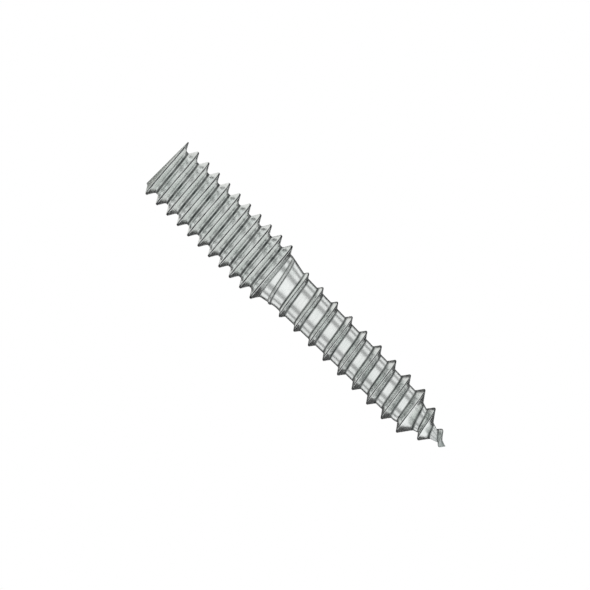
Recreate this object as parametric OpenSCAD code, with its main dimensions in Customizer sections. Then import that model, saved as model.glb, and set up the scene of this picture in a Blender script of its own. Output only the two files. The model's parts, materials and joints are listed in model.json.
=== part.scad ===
// Hanger bolt: a headless steel stud with a machine thread on its flat-cut end,
// a tapered neck, and a wood-screw thread that runs out to a gimlet point.
// The axis is Z: the flat end lies on z = 0 and the point is up.
// Both threads are right-hand. Sizes are in millimetres and degrees.

/* [Overall] */
// Length from the flat end to the tip
overall_length = 28.575; // [26:0.005:40]

/* [Machine thread] */
// Diameter over the crests
machine_major_d = 4.826; // [4.4:0.001:5.5]
// Distance from one crest to the next, 24 threads to the inch
machine_pitch = 1.0583; // [0.8:0.0001:1.2]
// Length of full thread, from the flat end
machine_length = 11.12; // [8:0.01:13]
// Length over which the last crest falls into the neck
machine_runout = 0.5; // [0.4:0.01:1.2]
// Height, over the neck, of the faint ridge that the end of the thread roll leaves there
faint_ridge_h = 0.09; // [0.05:0.01:0.15]
// Length along the axis of the faint ridge, which crosses the neck in half a turn
faint_ridge_length = 1.15; // [0.8:0.01:1.5]
// Distance from the end of full thread to the start of the faint ridge
faint_ridge_gap = 0.1; // [0:0.01:0.3]

/* [Neck] */
// Diameter where the machine thread ends
neck_d = 3.84; // [3.4:0.01:4]
// Length from the end of full machine thread to the first full wood crest
neck_length = 1.68; // [1.4:0.01:4]

/* [Wood thread] */
// Diameter over the crests
wood_major_d = 3.74; // [3.4:0.01:4.4]
// Distance from one crest to the next
wood_pitch = 1.48; // [1.2:0.01:2]
// Diameter of the core at the neck
wood_root_d = 3.15; // [2.9:0.01:3.3]
// Width of the narrow land along the crest
wood_crest_w = 0.08; // [0.05:0.01:0.15]
// Slope of each flank from the plane across the axis
wood_flank_angle = 35; // [25:1:40]
// Length over which the first crest rises from the neck
wood_run_in = 0.5; // [0.3:0.01:1.2]

/* [Point] */
// Length of the core's cone
point_length = 3.95; // [3:0.01:6]
// Diameter of the core where the cone begins
point_root_d = 2.63; // [2.2:0.01:2.8]
// Length, up to the tip, over which the crests close in
crest_taper_length = 3.375; // [2.5:0.005:6]
// Radius of the crest where it turns in to the tip
tip_crest_r = 0.42; // [0.2:0.01:0.5]

/* [Hidden] */

$fn = 96;

// Basic unified thread form: depth and crest land as shares of the pitch, and the slope of each flank.
// The depth is five eighths of the sharp V's height.
unified_depth_share = 5 / 8 * sqrt(3) / 2;
unified_crest_share = 1 / 8;
unified_flank_angle = 30;

// Sections of a ridge in one turn
steps_per_turn = 36;
// How far the foot of a ridge is sunk into the core
foot_depth = 0.06;
// Least radius of a ridge's foot, and of a crest, near the tip
least_foot_r = 0.02;
least_crest_r = 0.06;
// Bare tip above the last ridge
tip_clearance = 0.01;
// Direction from the axis in which each thread has its reference crest
reference_angle = 180;

machine_root_r = machine_major_d / 2 - unified_depth_share * machine_pitch;
machine_crest_w = unified_crest_share * machine_pitch;
machine_thread_end = machine_length + machine_runout;
// The faint ridge leaves the foot of the last flank and rises and dies out in a twelfth of a turn
faint_ridge_lead = 2 * faint_ridge_length;
faint_ridge_rise = faint_ridge_lead / 12;
faint_ridge_start = machine_length + faint_ridge_gap;
faint_ridge_end = faint_ridge_start + faint_ridge_length;
// Stock below z = 0, which the flat end cuts away
stock_length = 1.5 * machine_pitch;

neck_end = machine_length + neck_length;
wood_rise_start = neck_end - wood_run_in;
point_start = overall_length - point_length;
crest_taper_start = overall_length - crest_taper_length;
// Greatest height of a crest of that radius whose ridge stays below the tip
function highest_crest(crest_r) =
    overall_length - tip_clearance - wood_crest_w / 2
    - (crest_r - least_foot_r) * tan(wood_flank_angle);
tip_turn_start = highest_crest(tip_crest_r);
wood_thread_end = highest_crest(least_crest_r);

// Radius of the core along the axis, as pairs of height and radius
core_table = [
    [-stock_length, machine_root_r],
    [machine_length - machine_runout, machine_root_r],
    [machine_length, neck_d / 2],
    [neck_end, wood_root_d / 2],
    [point_start, point_root_d / 2],
    [overall_length, 0]
];
function core_r(z) = lookup(z, core_table);

// Radius of a crest that is just hidden in the core
function hidden_crest_r(z) = core_r(z) - foot_depth / 2;

// Radii of the crests along the axis, as pairs of height and radius
machine_crest_table = [
    [machine_length, machine_major_d / 2],
    [machine_thread_end, hidden_crest_r(machine_thread_end)]
];
faint_crest_table = [
    [faint_ridge_start, hidden_crest_r(faint_ridge_start)],
    [faint_ridge_start + faint_ridge_rise, core_r(faint_ridge_start + faint_ridge_rise) + faint_ridge_h],
    [faint_ridge_end, core_r(faint_ridge_end) + faint_ridge_h],
    [faint_ridge_end + faint_ridge_rise, hidden_crest_r(faint_ridge_end + faint_ridge_rise)]
];
wood_crest_table = [
    [wood_rise_start, hidden_crest_r(wood_rise_start)],
    [neck_end, wood_major_d / 2],
    [crest_taper_start, wood_major_d / 2],
    [tip_turn_start, tip_crest_r],
    [wood_thread_end, least_crest_r]
];

function around_axis(r, angle, z) = [r * cos(angle), r * sin(angle), z];
function foot_r(z) = max(core_r(z) - foot_depth, least_foot_r);

// One section of a ridge: lower foot, lower and upper edge of the crest land, upper foot
function ridge_section(z, angle, crest_r, crest_w, flank_angle) =
    let (half_foot = crest_w / 2 + (crest_r - foot_r(z)) * tan(flank_angle))
    [
        around_axis(foot_r(z - half_foot), angle, z - half_foot),
        around_axis(crest_r, angle, z - crest_w / 2),
        around_axis(crest_r, angle, z + crest_w / 2),
        around_axis(foot_r(z + half_foot), angle, z + half_foot)
    ];

// A ridge swept along a right-hand helix that has a crest at reference_angle and z_reference.
// It runs from z_from to z_to, each moved out to a whole step.
module helical_ridge(pitch, z_reference, z_from, z_to, crest_table, crest_w, flank_angle) {
    first = floor((z_from - z_reference) / pitch * steps_per_turn);
    last = ceil((z_to - z_reference) / pitch * steps_per_turn);
    sections = [
        for (i = [first:last])
            let (z = z_reference + pitch * i / steps_per_turn)
            let (angle = reference_angle + 360 * i / steps_per_turn)
            ridge_section(z, angle, lookup(z, crest_table), crest_w, flank_angle)
    ];
    corners = len(sections[0]);
    top = (last - first) * corners;
    sides = [
        for (row = [0:corners:top - corners], j = [0:corners - 1])
            let (a = row + j)
            let (b = row + (j + 1) % corners)
            each [[a, b, b + corners], [a, b + corners, a + corners]]
    ];
    ends = [
        [for (j = [corners - 1:-1:0]) j],
        [for (j = [0:corners - 1]) top + j]
    ];
    polyhedron([for (section = sections) each section], concat(sides, ends));
}

// The core under both threads, from the stock below the flat end to the tip
module core() {
    rotate_extrude()
        polygon([
            [0, -stock_length],
            for (row = core_table) [row[1], row[0]]
        ]);
}

module machine_thread() {
    helical_ridge(
        machine_pitch, 0, machine_pitch / 2 - stock_length, machine_thread_end,
        machine_crest_table, machine_crest_w, unified_flank_angle
    );
}

module faint_ridge() {
    helical_ridge(
        faint_ridge_lead, faint_ridge_start, faint_ridge_start, faint_ridge_end + faint_ridge_rise,
        faint_crest_table, machine_crest_w, unified_flank_angle
    );
}

// It stops a step short of its end, since its last section may be moved out by a step
module wood_thread() {
    helical_ridge(
        wood_pitch, neck_end, wood_rise_start, wood_thread_end - wood_pitch / steps_per_turn,
        wood_crest_table, wood_crest_w, wood_flank_angle
    );
}

// Everything below the flat end
module end_cut() {
    translate([-machine_major_d, -machine_major_d, -2 * stock_length])
        cube([2 * machine_major_d, 2 * machine_major_d, 2 * stock_length]);
}

module hanger_bolt() {
    color("silver")
    difference() {
        union() {
            core();
            machine_thread();
            faint_ridge();
            wood_thread();
        }
        end_cut();
    }
}

hanger_bolt();
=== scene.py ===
"""Looks of the hanger bolt: a zinc-plated steel stud, machine-threaded below and wood-threaded above."""
import json
import math

import bmesh
import bpy
import numpy as np
from mathutils import Matrix, Vector


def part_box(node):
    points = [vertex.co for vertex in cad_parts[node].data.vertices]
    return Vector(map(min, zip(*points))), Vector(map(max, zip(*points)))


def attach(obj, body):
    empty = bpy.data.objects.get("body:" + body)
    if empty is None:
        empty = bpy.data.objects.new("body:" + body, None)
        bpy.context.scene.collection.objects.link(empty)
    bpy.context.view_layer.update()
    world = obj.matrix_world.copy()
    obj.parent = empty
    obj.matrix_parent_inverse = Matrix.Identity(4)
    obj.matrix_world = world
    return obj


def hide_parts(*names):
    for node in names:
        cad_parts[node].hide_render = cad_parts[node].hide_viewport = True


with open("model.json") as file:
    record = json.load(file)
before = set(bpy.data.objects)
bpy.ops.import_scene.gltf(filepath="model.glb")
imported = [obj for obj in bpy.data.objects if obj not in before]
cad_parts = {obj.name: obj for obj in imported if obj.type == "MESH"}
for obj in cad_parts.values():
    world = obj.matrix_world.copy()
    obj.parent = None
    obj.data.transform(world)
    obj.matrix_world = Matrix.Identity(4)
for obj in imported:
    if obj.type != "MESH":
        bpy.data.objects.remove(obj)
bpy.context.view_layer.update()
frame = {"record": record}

# Sizes of the bolt in millimetres. The frame gives the length and the size of each thread,
# and the rest repeats the solid's own values.
MM = 0.001
bolt_low, bolt_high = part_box("hanger_bolt")
mounts = {mount["name"]: mount["dims"] for mount in frame["record"]["mounts"]}

OVERALL_LENGTH = (bolt_high[2] - bolt_low[2]) / MM

MACHINE_CREST_R = mounts["machine_thread"]["r_mm"]
MACHINE_LENGTH = mounts["machine_thread"]["length_mm"]
MACHINE_PITCH = 1.0583
# The basic unified thread is five eighths of the sharp V's height deep
MACHINE_DEPTH = 5 / 8 * math.sqrt(3) / 2 * MACHINE_PITCH
MACHINE_ROOT_R = MACHINE_CREST_R - MACHINE_DEPTH
MACHINE_LAND = MACHINE_PITCH / 8
MACHINE_FLANK = math.radians(30)
MACHINE_RUNOUT = 0.5
MACHINE_THREAD_END = MACHINE_LENGTH + MACHINE_RUNOUT
# The end of the thread roll leaves a faint ridge that crosses the neck in half a turn,
# and rises and dies out in a twelfth of a turn
FAINT_RIDGE_H = 0.09
FAINT_RIDGE_GAP = 0.1
FAINT_RIDGE_LENGTH = 1.15
FAINT_RIDGE_LEAD = 2 * FAINT_RIDGE_LENGTH
FAINT_RIDGE_RISE = FAINT_RIDGE_LEAD / 12
FAINT_RIDGE_START = MACHINE_LENGTH + FAINT_RIDGE_GAP
FAINT_RIDGE_FULL = FAINT_RIDGE_START + FAINT_RIDGE_RISE
FAINT_RIDGE_END = FAINT_RIDGE_START + FAINT_RIDGE_LENGTH
FAINT_RIDGE_GONE = FAINT_RIDGE_END + FAINT_RIDGE_RISE

NECK_R = 3.84 / 2
NECK_END = OVERALL_LENGTH - mounts["wood_thread"]["length_mm"]

WOOD_CREST_R = mounts["wood_thread"]["r_mm"]
WOOD_ROOT_R = 3.15 / 2
WOOD_PITCH = 1.48
WOOD_LAND = 0.08
WOOD_FLANK = math.radians(35)
WOOD_RUN_IN = 0.5
WOOD_RISE_START = NECK_END - WOOD_RUN_IN

POINT_LENGTH = 3.95
POINT_START = OVERALL_LENGTH - POINT_LENGTH
POINT_ROOT_R = 2.63 / 2
CREST_TAPER_LENGTH = 3.375
CREST_TAPER_START = OVERALL_LENGTH - CREST_TAPER_LENGTH
TIP_CREST_R = 0.42
LEAST_CREST_R = 0.06
LEAST_FOOT_R = 0.02
TIP_CLEARANCE = 0.01

# The end of a ridge lies so deep in the core, and from there drops out of the way in a short length
HIDDEN_DEPTH = 0.03
SINK_LENGTH = 0.1
TIP_SINK_LENGTH = 0.05
# Radius of a crest where its ridge isn't there at all
SUNK = -1.0

# Softness of the rolled edges: the rounded roots and crests, the bends of the core,
# the broken edge of the flat end and its shallow dish
MACHINE_ROOT_BLEND = 0.14
FAINT_RIDGE_BLEND = 0.04
WOOD_ROOT_BLEND = 0.06
CREST_BLEND = 0.03
CORE_BEND = 0.12
CORE_BEND_STEPS = 5
END_EDGE = 0.03
END_DISH = 0.012

# Small dents along the crests: how many there are in a turn, their widths in turns,
# their depths in millimetres, and the steps of their table in a turn
NICKS_PER_TURN = 1.2
NICK_WIDTHS = (0.006, 0.014)
NICK_DEPTHS = (0.006, 0.025)
NICK_TABLE_STEPS = 400

# Where the finish changes. Each pair gives where a mark starts and where it is full, in millimetres.
# Painted shade lies along the middle of each machine root but the last, and at the foot of the flanks
# elsewhere, where a ridge is no more than this above or below the core.
ROOT_SHADE = (0.12, 0.06)
LAST_FLANK_SHADE = (0.12, 0)
FAINT_RIDGE_SHADE = (0.14, 0)
WOOD_RIDGE_SHADE = (0.15, 0.05)
# The seam, a painted shade line, follows the middle of a crest that stands so high above the core
MACHINE_SEAM = (0.065, 0.03)
MACHINE_SEAM_HEIGHT = (0.1, 0.3)
WOOD_SEAM = (0.05, 0.025)
WOOD_SEAM_HEIGHT = (0.05, 0.15)
# The bare neck begins above the full machine thread and stops above the first full wood crest
NECK_BEGINS = (0.2, 0.4)
NECK_STOPS = (0.3, 0)
# The burnt point, by the distance from the tip
POINT_BURN = (1.2, 0.3)
# The last machine groove and the two ends of the faint ridge, in turns
LAST_GROOVE_TURNS = (10.2, 10.6)
FAINT_RIDGE_BEGINS = (0.02, 0.1)
FAINT_RIDGE_STOPS = (0.58, 0.5)
# Depth of a groove where there is no ridge beside it
LEAST_GROOVE = 0.05
# The flat end is as bright as a flank at this depth in a groove, from 0 to 1
END_GROOVE = 0.4

# The mesh follows the helix: steps round one turn, and lines across one pitch.
# It starts at a turn below the flat end, where it is cut off.
STEPS_PER_TURN = 108
LINES_PER_PITCH = 32
FIRST_TURN = -2
# How strongly the lines gather at the crest of the wood thread, from 0 to 1
WOOD_LINE_GATHER = 0.45
# Turn, from the flat end, at which the helix has its first full wood crest
FIRST_WOOD_TURN = 12
# Both threads have a crest on this side of the axis, at the flat end and where the neck ends
REFERENCE_ANGLE = math.pi
# Radius at which lengths along the helix are measured
MEAN_R = 2.0
# Rings of the flat end as shares of its size, from inside the broken edge to the middle
END_RINGS = (0.98, 0.95, 0.8, 0.6, 0.4, 0.2)
# A length that is as good as none
TINY = 1e-6

# Share of the bake's map for the flat end, below the unrolled thread, and how much of that it fills
END_MAP_SHARE = 0.06
END_MAP_FILL = 0.95


def core_radius(height):
    """Radius of the core under the threads, with its bends eased."""
    heights = [
        0, MACHINE_LENGTH - MACHINE_RUNOUT, MACHINE_LENGTH, NECK_END, POINT_START, OVERALL_LENGTH,
    ]
    radii = [MACHINE_ROOT_R, MACHINE_ROOT_R, NECK_R, WOOD_ROOT_R, POINT_ROOT_R, 0]
    shifts = np.linspace(-CORE_BEND, CORE_BEND, CORE_BEND_STEPS)
    return np.mean([np.interp(height + shift, heights, radii) for shift in shifts], axis=0)


def hidden_crest(height):
    """Radius of a crest that is just hidden in the core."""
    return core_radius(height) - HIDDEN_DEPTH


def highest_crest(crest_r):
    """Greatest height of a wood crest of that radius whose ridge stays below the tip."""
    flank_run = (crest_r - LEAST_FOOT_R) * math.tan(WOOD_FLANK)
    return OVERALL_LENGTH - TIP_CLEARANCE - WOOD_LAND / 2 - flank_run


def smooth_max(a, b, blend):
    """The larger of a and b, with a fillet of about that size where they meet."""
    share = np.clip(0.5 + 0.5 * (a - b) / blend, 0, 1)
    return b + (a - b) * share + blend * share * (1 - share)


def smooth_min(a, b, blend):
    """The smaller of a and b, with their edge rounded by about that size."""
    return -smooth_max(-a, -b, blend)


def ramp(value, start, full):
    """0 at the start, 1 where it is full, and even between them."""
    return np.clip((value - start) / (full - start), 0, 1)


def crest_nicks(seed, turns):
    """Depth of the small dents that a crest gets among other bolts, as a table over its turns."""
    rng = np.random.default_rng(seed)
    at = np.linspace(FIRST_TURN, turns, int((turns - FIRST_TURN) * NICK_TABLE_STEPS))
    depth = np.zeros_like(at)
    for _ in range(int(turns * NICKS_PER_TURN)):
        place = rng.uniform(0, turns)
        width = rng.uniform(*NICK_WIDTHS)
        depth += rng.uniform(*NICK_DEPTHS) * np.exp(-((at - place) / width) ** 2)
    return at, depth


MACHINE_THREAD = {
    "pitch": MACHINE_PITCH,
    "first_crest": 0.0,
    "land": MACHINE_LAND,
    "flank": MACHINE_FLANK,
    "crests": np.array([
        (MACHINE_LENGTH, MACHINE_CREST_R),
        (MACHINE_THREAD_END, hidden_crest(MACHINE_THREAD_END)),
        (MACHINE_THREAD_END + SINK_LENGTH, SUNK),
    ]).T,
    "nicks": crest_nicks(seed=3, turns=10.5),
}
FAINT_RIDGE = {
    "pitch": FAINT_RIDGE_LEAD,
    "first_crest": FAINT_RIDGE_START,
    "land": MACHINE_LAND,
    "flank": MACHINE_FLANK,
    "crests": np.array([
        (FAINT_RIDGE_START - SINK_LENGTH, SUNK),
        (FAINT_RIDGE_START, hidden_crest(FAINT_RIDGE_START)),
        (FAINT_RIDGE_FULL, core_radius(FAINT_RIDGE_FULL) + FAINT_RIDGE_H),
        (FAINT_RIDGE_END, core_radius(FAINT_RIDGE_END) + FAINT_RIDGE_H),
        (FAINT_RIDGE_GONE, hidden_crest(FAINT_RIDGE_GONE)),
        (FAINT_RIDGE_GONE + SINK_LENGTH, SUNK),
    ]).T,
    "nicks": crest_nicks(seed=7, turns=0.6),
}
WOOD_THREAD = {
    "pitch": WOOD_PITCH,
    "first_crest": NECK_END,
    "land": WOOD_LAND,
    "flank": WOOD_FLANK,
    "crests": np.array([
        (WOOD_RISE_START - SINK_LENGTH, SUNK),
        (WOOD_RISE_START, hidden_crest(WOOD_RISE_START)),
        (NECK_END, WOOD_CREST_R),
        (CREST_TAPER_START, WOOD_CREST_R),
        (highest_crest(TIP_CREST_R), TIP_CREST_R),
        (highest_crest(LEAST_CREST_R), LEAST_CREST_R),
        (highest_crest(LEAST_CREST_R) + TIP_SINK_LENGTH, SUNK),
    ]).T,
    "nicks": crest_nicks(seed=5, turns=9.5),
}


def ridge(thread, height, turn):
    """A thread's ridge as if it had no core: its radius, the distance along the axis from
    the nearest crest, and the turn that the crest has there."""
    turns = (height - thread["first_crest"]) / thread["pitch"] - turn

    def beside(crest_number):
        offset = (turns - crest_number) * thread["pitch"]
        crest = np.interp(height - offset, *thread["crests"])
        crest = crest - np.interp(turn + crest_number, *thread["nicks"])
        side = crest - (np.abs(offset) - thread["land"] / 2) / math.tan(thread["flank"])
        return smooth_min(crest, side, CREST_BLEND)

    below = np.floor(turns)
    nearest = np.round(turns)
    radius = np.maximum(beside(below), beside(below + 1))
    return radius, (turns - nearest) * thread["pitch"], turn + nearest


def bolt_surface(height, turn):
    """Radius of the bolt, and what its finish follows: the depth in a groove, the sharp inner
    corners that get painted shade, the seam along each rolled crest, painted as a shade line,
    the bare neck and the burnt point."""
    core = core_radius(height)
    machine, machine_offset, machine_turn = ridge(MACHINE_THREAD, height, turn)
    faint, _, faint_turn = ridge(FAINT_RIDGE, height, turn)
    wood, wood_offset, _ = ridge(WOOD_THREAD, height, turn)
    # The fillet of the wood thread shrinks with the core towards the tip
    wood_blend = np.minimum(WOOD_ROOT_BLEND, core / 2 + TINY)
    radius = smooth_max(core, machine, MACHINE_ROOT_BLEND)
    radius = smooth_max(radius, faint, FAINT_RIDGE_BLEND)
    radius = smooth_max(radius, wood, wood_blend)

    machine_crest = np.interp(height, *MACHINE_THREAD["crests"])
    wood_crest = np.interp(height, *WOOD_THREAD["crests"])
    crest = np.maximum.reduce([machine_crest, wood_crest, core + LEAST_GROOVE])
    groove = np.clip((crest - radius) / (crest - core), 0, 1)

    # The last groove widens into the neck, and painted shade stays only at the feet of its flanks
    groove_turn = machine_turn + 0.5 * np.sign(machine_offset)
    last_groove = ramp(groove_turn, *LAST_GROOVE_TURNS)
    root = ramp(MACHINE_PITCH / 2 - np.abs(machine_offset), *ROOT_SHADE) * (1 - last_groove)
    machine_foot = ramp(np.abs(machine - core), *LAST_FLANK_SHADE) * last_groove
    faint_shows = ramp(faint_turn, *FAINT_RIDGE_BEGINS) * ramp(faint_turn, *FAINT_RIDGE_STOPS)
    faint_foot = ramp(np.abs(faint - core), *FAINT_RIDGE_SHADE) * faint_shows
    wood_foot = ramp(np.abs(wood - core), *WOOD_RIDGE_SHADE) * ramp(height, WOOD_RISE_START, NECK_END)
    corner = np.maximum.reduce([root, machine_foot, faint_foot, wood_foot])

    # A painted shade line runs along the middle of each crest that stands high enough
    machine_seam = ramp(np.abs(machine_offset), *MACHINE_SEAM) * ramp(machine - core, *MACHINE_SEAM_HEIGHT)
    wood_seam = ramp(np.abs(wood_offset), *WOOD_SEAM) * ramp(wood - core, *WOOD_SEAM_HEIGHT)
    seam = np.maximum(machine_seam, wood_seam)

    neck = ramp(height - MACHINE_LENGTH, *NECK_BEGINS) * ramp(height - NECK_END, *NECK_STOPS)
    burn = ramp(OVERALL_LENGTH - height, *POINT_BURN)
    return radius, {"groove": groove, "corner": corner, "seam": seam, "neck": neck, "burn": burn}


def helix_height(turns):
    """Height of a crest line after so many turns from the flat end, through both threads."""
    machine_end = MACHINE_THREAD_END / MACHINE_PITCH
    wood_start = FIRST_WOOD_TURN - (NECK_END - WOOD_RISE_START) / WOOD_PITCH
    machine = turns * MACHINE_PITCH
    wood = NECK_END + (turns - FIRST_WOOD_TURN) * WOOD_PITCH
    between = np.interp(turns, [machine_end, wood_start], [MACHINE_THREAD_END, WOOD_RISE_START])
    return np.where(turns < machine_end, machine, np.where(turns > wood_start, wood, between))


def bolt_mesh(name):
    """The whole bolt as one closed skin, whose rows follow the thread from the flat end to the tip."""
    last_turn = FIRST_WOOD_TURN + (OVERALL_LENGTH - NECK_END) / WOOD_PITCH + 1
    steps = math.ceil((last_turn - FIRST_TURN) * STEPS_PER_TURN) + 1
    turn = FIRST_TURN + np.arange(steps)[:, None] / STEPS_PER_TURN
    even = np.arange(LINES_PER_PITCH + 1)[None, :] / LINES_PER_PITCH - 0.5
    gathered = even - WOOD_LINE_GATHER * np.sin(2 * math.pi * even) / (2 * math.pi)
    across = even + (gathered - even) * ramp(turn, FIRST_WOOD_TURN - 1, FIRST_WOOD_TURN)
    turn, even = np.broadcast_arrays(turn, even)
    height = helix_height(turn + across)
    angle = REFERENCE_ANGLE + 2 * math.pi * turn
    radius, finish = bolt_surface(np.minimum(height, OVERALL_LENGTH), turn)

    # Each row's last line is the first line of the row one turn on, and all above the tip is the tip
    tip = steps * LINES_PER_PITCH
    index = np.full((steps, LINES_PER_PITCH + 1), tip)
    index[:, :-1] = np.arange(tip).reshape(steps, LINES_PER_PITCH)
    index[:-STEPS_PER_TURN, -1] = index[STEPS_PER_TURN:, 0]
    index[height >= OVERALL_LENGTH] = tip
    points = np.stack([radius * np.cos(angle), radius * np.sin(angle), height], -1)[:, :-1]
    points = np.vstack([points.reshape(-1, 3), [[0, 0, OVERALL_LENGTH]]]) * MM

    # Two maps: millimetres along and across the thread, and the thread unrolled in even bands for a bake
    run = np.stack([turn * 2 * math.pi * MEAN_R, across * WOOD_PITCH], -1)
    row = np.broadcast_to(np.arange(steps)[:, None], even.shape)
    along = row % STEPS_PER_TURN / STEPS_PER_TURN
    band = (row // STEPS_PER_TURN + even + 0.5) / math.ceil(steps / STEPS_PER_TURN)
    unrolled = np.stack([along, END_MAP_SHARE + (1 - END_MAP_SHARE) * band], -1)
    next_unrolled = unrolled[:-1] + [1 / STEPS_PER_TURN, 0]

    def corners(here, after):
        return np.stack([here[:, :-1], after[:, :-1], after[:, 1:], here[:, 1:]], 2)

    # A face with two corners at the tip keeps one of them, and one with more has no area
    quads = corners(index[:-1], index[1:]).reshape(-1, 4)
    runs = corners(run[:-1], run[1:]).reshape(-1, 4, 2)
    maps = corners(unrolled[:-1], next_unrolled).reshape(-1, 4, 2)
    used = (quads == tip).sum(1) <= 2
    quads, runs, maps = quads[used], runs[used], maps[used]
    kept = quads != np.roll(quads, 1, axis=1)

    mesh = bpy.data.meshes.new(name)
    ends = np.cumsum(kept.sum(1))[:-1]
    mesh.from_pydata(points.tolist(), [], [face.tolist() for face in np.split(quads[kept], ends)])
    for map_name, places in (("OFBake", maps), ("thread_run", runs)):
        layer = mesh.uv_layers.new(name=map_name, do_init=False)
        layer.uv.foreach_set("vector", places[kept].astype(np.float32).ravel())
    for key, values in finish.items():
        attribute = mesh.attributes.new(key, "FLOAT", "POINT")
        attribute.data.foreach_set("value", np.append(values[:, :-1], values.ravel()[-1]).astype(np.float32))
    close_flat_end(mesh)
    return mesh


def close_flat_end(mesh):
    """Cuts the skin off at the flat end and closes it with a slightly dished face with a broken edge."""
    edit = bmesh.new()
    edit.from_mesh(mesh)
    bmesh.ops.bisect_plane(
        edit, geom=edit.verts[:] + edit.edges[:] + edit.faces[:], dist=TINY * MM,
        plane_co=(0, 0, END_EDGE * MM), plane_no=(0, 0, 1), clear_inner=True,
    )
    loose = [vert for vert in edit.verts if not vert.link_faces]
    bmesh.ops.delete(edit, geom=loose, context="VERTS")
    rim = {vert for edge in edit.edges if edge.is_boundary for vert in edge.verts}
    rim = sorted(rim, key=lambda vert: math.atan2(vert.co.y, vert.co.x))
    outline = [vert.co.copy() for vert in rim]
    run_map = edit.loops.layers.uv["thread_run"]
    bake_map = edit.loops.layers.uv["OFBake"]
    groove = edit.verts.layers.float["groove"]
    count = len(rim)

    def end_face(corners):
        face = edit.faces.new([vert for vert, _, _ in corners])
        for loop, (vert, place, share) in zip(face.loops, corners):
            loop[run_map].uv = vert.co.xy / MM
            loop[bake_map].uv = (place / count, END_MAP_SHARE * END_MAP_FILL * share)

    ring, ring_share = rim, 1.0
    for share in END_RINGS:
        flat = []
        for co in outline:
            reach = math.hypot(co.x, co.y)
            inward = (reach - END_EDGE * MM) / reach * share / END_RINGS[0]
            dish = END_DISH * MM * (1 - share / END_RINGS[0])
            vert = edit.verts.new((co.x * inward, co.y * inward, dish))
            vert[groove] = END_GROOVE
            flat.append(vert)
        for i in range(count):
            j = (i + 1) % count
            end_face([
                (ring[j], i + 1, ring_share), (ring[i], i, ring_share),
                (flat[i], i, share), (flat[j], i + 1, share),
            ])
        ring, ring_share = flat, share
    centre = edit.verts.new((0, 0, END_DISH * MM))
    centre[groove] = END_GROOVE
    for i in range(count):
        j = (i + 1) % count
        end_face([(ring[j], i + 1, ring_share), (ring[i], i, ring_share), (centre, i + 0.5, 0)])
    bmesh.ops.recalc_face_normals(edit, faces=edit.faces[:])
    edit.to_mesh(mesh)
    edit.free()


def linear(hex_colour):
    """An sRGB hex colour as the linear RGBA that a shader socket takes."""
    channels = [int(hex_colour[i:i + 2], 16) / 255 for i in (1, 3, 5)]
    return [c / 12.92 if c <= 0.04045 else ((c + 0.055) / 1.055) ** 2.4 for c in channels] + [1.0]


def add_node(tree, kind, settings=None, links=None):
    """Adds a node. Settings name its properties or inputs, and links name the inputs that sockets feed."""
    node = tree.nodes.new(kind)
    for key, value in (settings or {}).items():
        if isinstance(key, str) and hasattr(node, key):
            setattr(node, key, value)
        else:
            node.inputs[key].default_value = value
    for key, socket in (links or {}).items():
        tree.links.new(socket, node.inputs[key])
    return node


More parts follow.
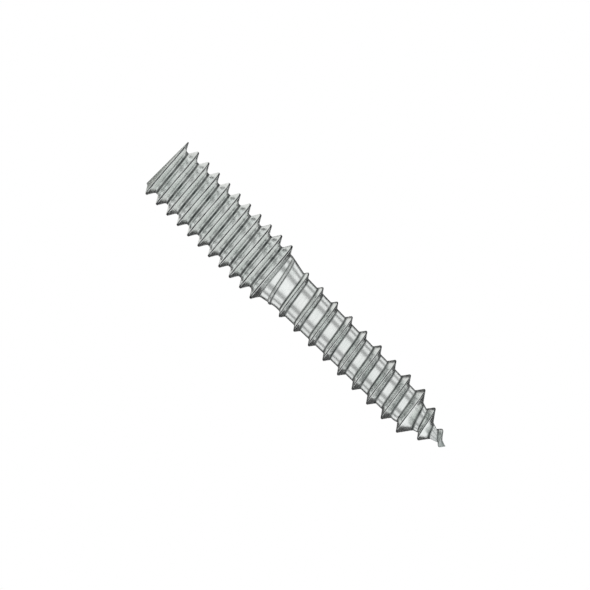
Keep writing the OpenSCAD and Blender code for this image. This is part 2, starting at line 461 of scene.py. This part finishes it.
def zinc_plated_steel():
    """Steel wire, thread-rolled and then plated with bright zinc: a pale, faintly blue-green metal with
    soft reflections. Painted shade darkens the deepest part of each groove, the corners and the seam
    that rolling leaves along each crest. At the sharp point, where the plating current crowds, the zinc
    comes out burnt: grey and matt."""
    # Plating grain, rolling streaks and the draw marks on the neck are finer than this on a real bolt,
    # and are drawn coarser to show
    grain_mm = 0.14
    streak_mm = 0.09
    streak_length_mm = 3.0
    draw_mark_mm = 0.16
    draw_mark_length_mm = 6.0
    # Clouds in the plate, and the patches where the painted shade is lighter
    cloud_mm = 1.7
    shade_patch_mm = 0.6
    # Roughness of the plate on a crest and in a groove, and what marks, burning and the shaded corners add to
    # it
    crest_roughness = 0.18
    groove_roughness = 0.22
    mark_roughness = 0.1
    burn_roughness = 0.2
    corner_roughness = 0.25
    # Depth of the marks, and the share of it that the grain has
    relief_mm = 0.006
    grain_share = 0.5

    material = bpy.data.materials.new("zinc_plated_steel")
    material.use_nodes = True
    tree = material.node_tree
    shader = tree.nodes["Principled BSDF"]
    place = add_node(tree, "ShaderNodeTexCoord").outputs["Object"]
    run = add_node(tree, "ShaderNodeUVMap", {"uv_map": "thread_run"}).outputs["UV"]
    groove, corner, seam, neck, burn = [
        add_node(tree, "ShaderNodeAttribute", {"attribute_name": key}).outputs["Fac"]
        for key in ("groove", "corner", "seam", "neck", "burn")
    ]

    cloud = add_node(
        tree, "ShaderNodeTexNoise", {"Scale": 1 / (cloud_mm * MM), "Detail": 3.0}, {"Vector": place})
    shade_patches = add_node(
        tree, "ShaderNodeTexNoise", {"Scale": 1 / (shade_patch_mm * MM), "Detail": 2.0}, {"Vector": place})
    grain = add_node(
        tree, "ShaderNodeTexNoise", {"Scale": 1 / (grain_mm * MM), "Detail": 4.0}, {"Vector": place})
    along_thread = add_node(
        tree, "ShaderNodeVectorMath",
        {"operation": "MULTIPLY", 1: (1 / streak_length_mm, 1 / streak_mm, 0)}, {0: run})
    streak = add_node(
        tree, "ShaderNodeTexNoise", {"Scale": 1.0, "Detail": 3.0}, {"Vector": along_thread.outputs[0]})
    along_neck = add_node(
        tree, "ShaderNodeVectorMath", {
            "operation": "MULTIPLY",
            1: (1 / (draw_mark_mm * MM), 1 / (draw_mark_mm * MM), 1 / (draw_mark_length_mm * MM)),
        }, {0: place})
    draw_mark = add_node(
        tree, "ShaderNodeTexNoise", {"Scale": 1.0, "Detail": 3.0}, {"Vector": along_neck.outputs[0]})
    marks = add_node(
        tree, "ShaderNodeMix", {"data_type": "FLOAT"},
        {0: neck, 2: streak.outputs["Fac"], 3: draw_mark.outputs["Fac"]}).outputs[0]

    tint_share = add_node(
        tree, "ShaderNodeMapRange", {"From Min": 0.35, "From Max": 0.65}, {"Value": cloud.outputs["Fac"]})
    tint = add_node(
        tree, "ShaderNodeMix", {"data_type": "RGBA", 6: linear("#f6f8f7"), 7: linear("#edf1ef")},
        {0: tint_share.outputs["Result"]})
    mark_share = add_node(
        tree, "ShaderNodeMapRange", {"From Min": 0.5, "From Max": 0.72, "To Max": 0.35}, {"Value": marks})
    marked = add_node(
        tree, "ShaderNodeMix", {"data_type": "RGBA", 7: linear("#c6cecb")},
        {0: mark_share.outputs["Result"], 6: tint.outputs[2]})
    # Painted shade: the deepest part of each groove is darkened a little
    deep_groove_shade = add_node(
        tree, "ShaderNodeMapRange", {"From Min": 0.7, "To Max": 0.08}, {"Value": groove})
    deep_groove_shaded = add_node(
        tree, "ShaderNodeMix", {"data_type": "RGBA", 7: linear("#b3bbb9")},
        {0: deep_groove_shade.outputs["Result"], 6: marked.outputs[2]})
    # Painted shade in the machine roots and at the feet of the flanks, lighter in random patches
    shade_patch_share = add_node(
        tree, "ShaderNodeMapRange", {"From Min": 0.4, "From Max": 0.62, "To Min": 0.85},
        {"Value": shade_patches.outputs["Fac"]})
    corner_shade = add_node(
        tree, "ShaderNodeMath", {"operation": "MULTIPLY"}, {0: corner, 1: shade_patch_share.outputs["Result"]})
    corner_shaded = add_node(
        tree, "ShaderNodeMix", {"data_type": "RGBA", 7: linear("#414746")},
        {0: corner_shade.outputs[0], 6: deep_groove_shaded.outputs[2]})
    # Painted shade: a dark line along the middle of each crest, where the rolling seam is
    seam_shade = add_node(
        tree, "ShaderNodeMath", {"operation": "MULTIPLY"}, {0: seam, 1: shade_patch_share.outputs["Result"]})
    seam_shaded = add_node(
        tree, "ShaderNodeMix", {"data_type": "RGBA", 7: linear("#343939")},
        {0: seam_shade.outputs[0], 6: corner_shaded.outputs[2]})
    colour = add_node(
        tree, "ShaderNodeMix", {"data_type": "RGBA", 7: linear("#a3aaa8")},
        {0: burn, 6: seam_shaded.outputs[2]})

    smooth = add_node(
        tree, "ShaderNodeMapRange", {"To Min": crest_roughness, "To Max": groove_roughness},
        {"Value": groove})
    streaked = add_node(
        tree, "ShaderNodeMath", {"operation": "MULTIPLY_ADD", 1: mark_roughness},
        {0: marks, 2: smooth.outputs["Result"]})
    burnt = add_node(
        tree, "ShaderNodeMath", {"operation": "MULTIPLY_ADD", 1: burn_roughness},
        {0: burn, 2: streaked.outputs[0]})
    rough = add_node(
        tree, "ShaderNodeMath", {"operation": "MULTIPLY_ADD", 1: corner_roughness},
        {0: corner_shade.outputs[0], 2: burnt.outputs[0]})

    relief = add_node(
        tree, "ShaderNodeMath", {"operation": "MULTIPLY_ADD", 1: grain_share},
        {0: grain.outputs["Fac"], 2: marks})
    bump = add_node(
        tree, "ShaderNodeBump", {"Strength": 0.3, "Distance": relief_mm * MM},
        {"Height": relief.outputs[0]})

    shader.inputs["Metallic"].default_value = 1.0
    tree.links.new(colour.outputs[2], shader.inputs["Base Color"])
    tree.links.new(rough.outputs[0], shader.inputs["Roughness"])
    tree.links.new(bump.outputs["Normal"], shader.inputs["Normal"])
    return material


def build_bolt():
    mesh = bolt_mesh("zinc_bolt")
    mesh.shade_smooth()
    mesh.materials.append(zinc_plated_steel())
    bolt = bpy.data.objects.new("zinc_bolt", mesh)
    bpy.context.collection.objects.link(bolt)
    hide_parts("hanger_bolt")
    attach(bolt, "root")


def seen_directly(tree):
    """1 for rays that show the white surround: straight from the camera, mirrored, or through glass."""
    rays = add_node(tree, "ShaderNodeLightPath")
    mirrored = add_node(
        tree, "ShaderNodeMath", {"operation": "MAXIMUM"},
        {0: rays.outputs["Is Camera Ray"], 1: rays.outputs["Is Glossy Ray"]})
    return add_node(
        tree, "ShaderNodeMath", {"operation": "MAXIMUM"},
        {0: mirrored.outputs[0], 1: rays.outputs["Is Transmission Ray"]}).outputs[0]


def white_surround():
    """A white studio surround, which lights the floor more softly than it shows."""
    lighting = 0.64
    shown = 1.0
    world = bpy.data.worlds.new("white_surround")
    bpy.context.scene.world = world
    world.use_nodes = True
    tree = world.node_tree
    background = tree.nodes["Background"]
    strength = add_node(
        tree, "ShaderNodeMapRange", {"To Min": lighting, "To Max": shown}, {"Value": seen_directly(tree)})
    background.inputs["Color"].default_value = linear("#ffffff")
    tree.links.new(strength.outputs["Result"], background.inputs["Strength"])


def stage_piece(name, points, faces, material):
    """A plain sheet of the studio, from points in millimetres."""
    mesh = bpy.data.meshes.new(name)
    mesh.from_pydata([[c * MM for c in point] for point in points], [], faces)
    mesh.materials.append(material)
    piece = bpy.data.objects.new(name, mesh)
    bpy.context.collection.objects.link(piece)
    return piece


def matt_white_board():
    """Uncoated board: flat white, with no gloss that could mirror the cards."""
    material = bpy.data.materials.new("matt_white_board")
    material.use_nodes = True
    shader = material.node_tree.nodes["Principled BSDF"]
    shader.inputs["Base Color"].default_value = linear("#f3f3f1")
    shader.inputs["Roughness"].default_value = 1.0
    shader.inputs["Specular IOR Level"].default_value = 0.0
    return material


def pale_floor():
    reach = 400
    points = [(-reach, -reach, 0), (reach, -reach, 0), (reach, reach, 0), (-reach, reach, 0)]
    stage_piece("pale_floor", points, [(0, 1, 2, 3)], matt_white_board())


def lit_card(level):
    """Studio card, set by how bright it looks beside the white surround, which is 1."""
    material = bpy.data.materials.new(f"lit_card_{round(level * 100)}")
    material.use_nodes = True
    shader = material.node_tree.nodes["Principled BSDF"]
    shader.inputs["Base Color"].default_value = linear("#000000")
    shader.inputs["Specular IOR Level"].default_value = 0.0
    shader.inputs["Emission Color"].default_value = linear("#ffffff")
    shader.inputs["Emission Strength"].default_value = level
    return material


def studio_card(name, points, faces, level):
    """A card that lights nothing and that only the bolt's reflections show."""
    card = stage_piece(name, points, faces, lit_card(level))
    card.visible_camera = False
    card.visible_shadow = False
    card.visible_diffuse = False


def studio_cards():
    """Upright cards round the bolt, whose reflections draw its form."""
    reach = 32
    height = 70
    panes = 4
    # Direction from the camera's side of the bolt, width, both in degrees, and level of a pair of cards
    for middle, width, level in ((50, 24, 0.35), (95, 16, 0.2), (150, 40, 0.05)):
        for side, side_name in ((-1, "left"), (1, "right")):
            around = [math.radians(side * middle + width * (i / panes - 0.5)) for i in range(panes + 1)]
            points = [(-reach * math.sin(a), -reach * math.cos(a), z) for a in around for z in (0, height)]
            faces = [(2 * i, 2 * i + 2, 2 * i + 3, 2 * i + 1) for i in range(panes)]
            studio_card(f"studio_card_{middle}_{side_name}", points, faces, level)
    # Half the width, lower and upper edge and level of two flat ones above the camera. The first keeps
    # the point from fading into the white. The strip is brighter than the surround, for glints on the crests.
    away = 60
    for name, half, low, high, level in (
        ("studio_card_over_camera", 60, 60, 100, 0.7),
        ("studio_strip", 50, 104, 124, 1.4),
    ):
        points = [(-half, -away, low), (half, -away, low), (half, -away, high), (-half, -away, high)]
        studio_card(name, points, [(0, 1, 2, 3)], level)


def top_softbox():
    """One wide softbox for the floor and the shadow. The metal doesn't mirror it, so that it can't clip."""
    place = Vector((-60, -75, 170))
    aim = Vector((0, 0, OVERALL_LENGTH / 2))
    side = 220
    watts = 0.17
    data = bpy.data.lights.new("top_softbox", "AREA")
    data.shape = "SQUARE"
    data.size = side * MM
    data.energy = watts
    light = bpy.data.objects.new("top_softbox", data)
    light.location = place * MM
    light.rotation_euler = (aim - place).to_track_quat("-Z", "Y").to_euler()
    light.visible_camera = False
    light.visible_glossy = False
    bpy.context.collection.objects.link(light)


# The photograph's frame: pixels across, where the bolt's flat end is in it, and the bolt's length there
PHOTO_PIXELS = 590
PHOTO_FLAT_END = (164.4, 165.4)
PHOTO_BOLT_LENGTH = 397.4


def photo_camera():
    """Looks square at the axis, rolled so that the bolt runs down to the right at 45 degrees."""
    pixel = OVERALL_LENGTH / PHOTO_BOLT_LENGTH * MM
    away = 200
    right = Vector((-1, 0, 1)).normalized()
    up = Vector((-1, 0, -1)).normalized()
    back = right.cross(up)
    across = PHOTO_PIXELS / 2 - PHOTO_FLAT_END[0]
    down = PHOTO_PIXELS / 2 - PHOTO_FLAT_END[1]
    aim = right * across * pixel - up * down * pixel
    data = bpy.data.cameras.new("photo_camera")
    data.type = "ORTHO"
    data.ortho_scale = PHOTO_PIXELS * pixel
    data.clip_start = 1 * MM
    data.clip_end = 2000 * MM
    camera = bpy.data.objects.new("photo_camera", data)
    turn = Matrix((right, up, back)).transposed().to_4x4()
    camera.matrix_world = Matrix.Translation(aim + back * away * MM) @ turn
    bpy.context.collection.objects.link(camera)
    bpy.context.scene.camera = camera


build_bolt()
white_surround()
pale_floor()
studio_cards()
top_softbox()
photo_camera()
bpy.context.scene.view_settings.view_transform = "Standard"
